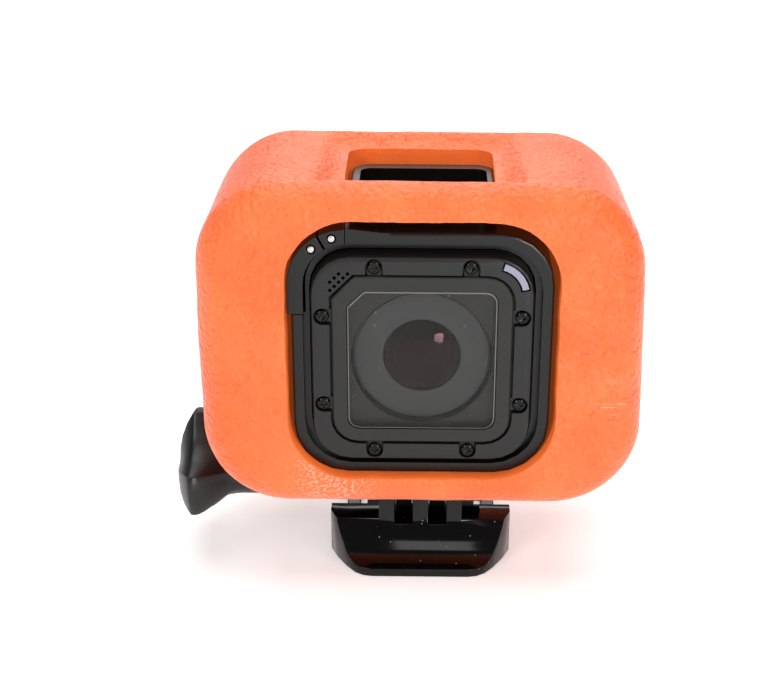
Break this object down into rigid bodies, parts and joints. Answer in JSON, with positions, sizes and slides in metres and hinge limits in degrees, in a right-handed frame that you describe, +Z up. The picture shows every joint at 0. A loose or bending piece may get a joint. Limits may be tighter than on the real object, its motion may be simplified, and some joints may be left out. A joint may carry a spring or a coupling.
{
  "type": "action camera",
  "caption": "Cube action camera in a low-profile frame and a foam float jacket, tilting on a quick-release buckle with a thumb screw.",
  "frame": {"origin": "centre of the buckle's flat underside, straight below the tilt pivot", "axes": "+Z up, the lens looks along -Y, +X towards the nut side, away from the thumb screw's knob"},
  "size_m": [0.085, 0.0445, 0.0766],
  "materials": {
    "foam": "matte",
    "camera_plastic": "satin",
    "frame_plastic": "satin",
    "knob_plastic": "satin",
    "buckle_plastic": "gloss",
    "trim_grey": "matte",
    "light_pipe": "satin",
    "clear_glass": "polished",
    "lens_glass": "polished",
    "steel": "polished",
    "black_screw": "satin",
    "cell": "satin",
    "seal_rubber": "matte",
    "board": "satin",
    "chip": "satin"
  },
  "bodies": {
    "buckle": {"buckle_body": "buckle_plastic", "hex_nut": "steel"},
    "camera": {"battery": "cell", "camera_case": "camera_plastic", "card_slot": "steel", "cover_screw_bottom_1": "black_screw", "cover_screw_bottom_2": "black_screw", "cover_screw_left_1": "black_screw", "cover_screw_left_2": "black_screw", "cover_screw_right_1": "black_screw", "cover_screw_right_2": "black_screw", "cover_screw_top_1": "black_screw", "cover_screw_top_2": "black_screw", "display_window": "clear_glass", "door_seal": "seal_rubber", "foam_jacket": "foam", "frame_band": "frame_plastic", "front_bezel": "camera_plastic", "image_sensor": "chip", "latch_lever": "frame_plastic", "latch_lever_pin": "steel", "latch_link": "frame_plastic", "latch_link_pin": "steel", "led_light_pipe": "light_pipe", "lens_aperture_ring": "camera_plastic", "lens_barrel": "camera_plastic", "lens_cover_glass": "clear_glass", "lens_cover_plate": "camera_plastic", "lens_front_element": "lens_glass", "lens_rear_element": "lens_glass", "lens_trim_ring": "trim_grey", "main_board": "board", "memory_card": "chip", "microphone": "steel", "rear_light_pipe": "light_pipe", "rear_switch": "steel", "sensor_board": "board", "shutter_switch": "steel", "side_door": "camera_plastic", "speaker": "chip", "status_display": "chip", "top_board": "board", "usb_port": "steel"},
    "thumb_screw": {"thumb_screw_knob": "knob_plastic", "thumb_screw_shank": "steel"},
    "arm_left": {"buckle_arm_left": "buckle_plastic"},
    "arm_right": {"buckle_arm_right": "buckle_plastic"},
    "shutter_button": {"shutter_button": "camera_plastic"},
    "rear_button": {"rear_button": "camera_plastic"}
  },
  "joints": [
    {"name": "camera_tilt", "type": "hinge", "parent": "buckle", "child": "camera", "pos_m": [0, 0, 0.0156], "axis": [1, 0, 0], "range_deg": [-18, 38]},
    {"name": "thumb_screw_turn", "type": "hinge", "parent": "buckle", "child": "thumb_screw", "pos_m": [-0.02, 0, 0.0156], "axis": [1, 0, 0], "continuous": true},
    {"name": "arm_left_squeeze", "type": "hinge", "parent": "buckle", "child": "arm_left", "pos_m": [-0.0132, -0.0012, 0.0028], "axis": [0, 0, -1], "range_deg": [0, 5], "stiffness_Nm_per_rad": 2},
    {"name": "arm_right_squeeze", "type": "hinge", "parent": "buckle", "child": "arm_right", "pos_m": [0.0132, -0.0012, 0.0028], "axis": [0, 0, 1], "range_deg": [0, 5], "stiffness_Nm_per_rad": 2},
    {"name": "shutter_press", "type": "slide", "parent": "camera", "child": "shutter_button", "axis": [0, 0, -1], "range_m": [0, 0.0007], "stiffness_N_per_m": 1500},
    {"name": "rear_press", "type": "slide", "parent": "camera", "child": "rear_button", "axis": [0, -1, 0], "range_m": [0, 0.0005], "stiffness_N_per_m": 1500}
  ]
}
